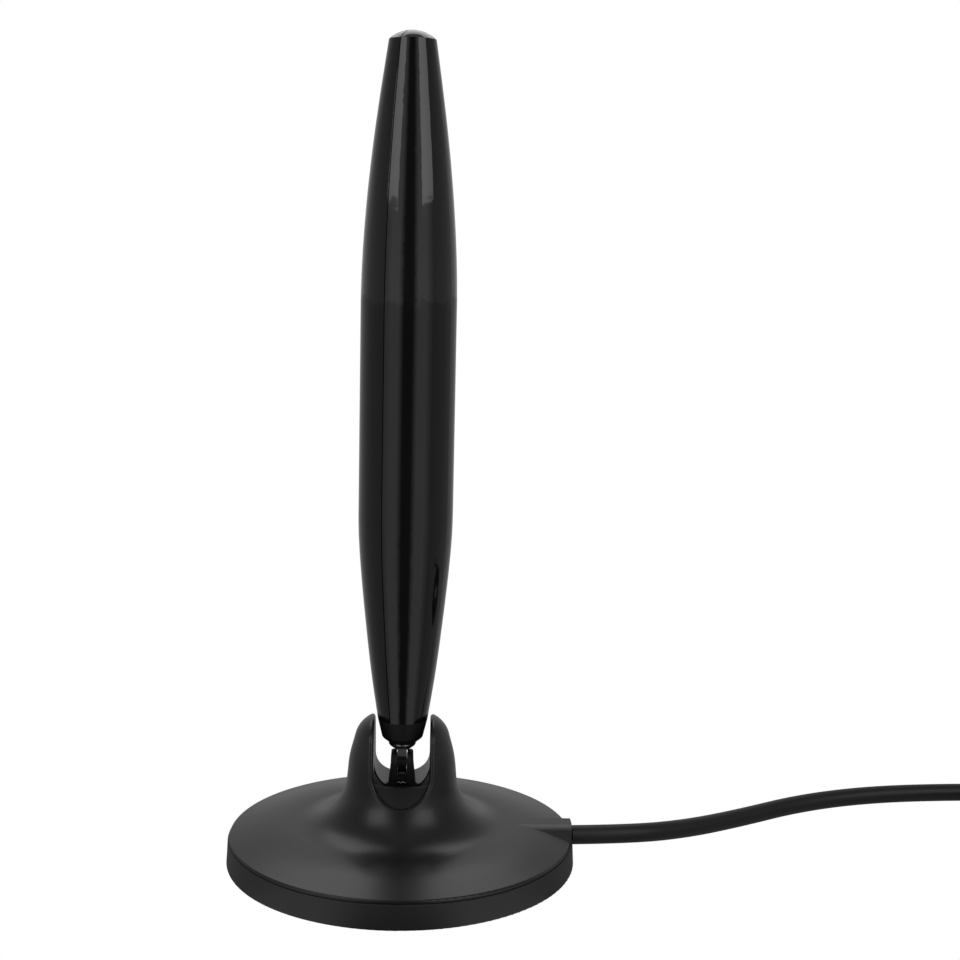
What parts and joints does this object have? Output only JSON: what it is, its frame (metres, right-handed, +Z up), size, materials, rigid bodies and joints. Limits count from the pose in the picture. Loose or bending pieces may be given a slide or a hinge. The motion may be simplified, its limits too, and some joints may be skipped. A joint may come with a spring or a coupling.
{
  "type": "indoor television antenna",
  "caption": "Indoor television antenna: round spindle wand on a tilting, swivelling knuckle in a bell-shaped saddle on a weighted disc base, with a coaxial lead and screw-on connector.",
  "frame": {"origin": "centre of the round base on the surface it stands on, at the foot pad's underside", "axes": "+Z up along the wand, +X towards the side where the lead leaves the base, so the wand's tilt axis is parallel to X and the brand side of the real object is -X"},
  "size_m": [0.319, 0.1103, 0.2335],
  "materials": {
    "cover_plastic": "satin black",
    "shell_plastic": "fine-textured black",
    "pad_rubber": "matte foam rubber",
    "ballast_steel": "zinc-plated blank",
    "screw_steel": "zinc-plated",
    "hinge_plastic": "matte black",
    "pin_steel": "ground",
    "spring_bronze": "bronze spring strip",
    "clip_wire": "bright wire",
    "knuckle_metal": "black-coated die casting",
    "collar_plastic": "natural acetal",
    "wand_plastic": "high-gloss black",
    "cap_plastic": "matte black",
    "board": "green solder resist on glass-epoxy",
    "element_copper": "copper foil",
    "ferrite": "sintered ferrite",
    "thin_lead": "thin coaxial lead",
    "cable_jacket": "matte PVC jacket",
    "tie_fabric": "woven hook-and-loop strap",
    "connector_metal": "nickel plated",
    "conductor": "bare copper"
  },
  "bodies": {
    "base": {"base_cover": "cover_plastic", "base_shell": "shell_plastic", "foot_pad": "pad_rubber", "ballast_weight": "ballast_steel", "base_screws": "screw_steel", "hinge_post": "hinge_plastic", "post_screws": "screw_steel", "hinge_pin": "pin_steel", "friction_washers": "spring_bronze", "lead_clip": "clip_wire", "cable_clamp": "shell_plastic", "clamp_screws": "screw_steel", "coax_in_base": "cable_jacket", "lead_in_post": "thin_lead", "antenna_cable": "cable_jacket", "cable_tail": "cable_jacket", "cable_coil": "cable_jacket", "cable_tie": "tie_fabric", "connector_ferrule": "connector_metal", "connector_body": "connector_metal", "centre_conductor": "conductor"},
    "tilt_knuckle": {"knuckle": "knuckle_metal", "swivel_collar": "collar_plastic", "swivel_circlip": "pin_steel"},
    "wand": {"wand_front_shell": "wand_plastic", "wand_rear_shell": "wand_plastic", "wand_end_cap": "cap_plastic", "antenna_board": "board", "upper_element": "element_copper", "lower_element": "element_copper", "board_screws": "screw_steel", "balun_core": "ferrite", "wand_lead": "thin_lead"},
    "connector_nut": {"connector_nut": "connector_metal"}
  },
  "joints": [
    {"name": "wand_tilt", "type": "hinge", "parent": "base", "child": "tilt_knuckle", "pos_m": [0, 0, 0.0297], "axis": [1, 0, 0], "range_deg": [-90, 72]},
    {"name": "wand_swivel", "type": "hinge", "parent": "tilt_knuckle", "child": "wand", "pos_m": [0, 0, 0.03565], "axis": [0, 0, 1], "range_deg": [-136, 194]},
    {"name": "nut_spin", "type": "hinge", "parent": "base", "child": "connector_nut", "pos_m": [0.263, -0.05, 0.0061], "axis": [0, -1, 0], "continuous": true}
  ]
}
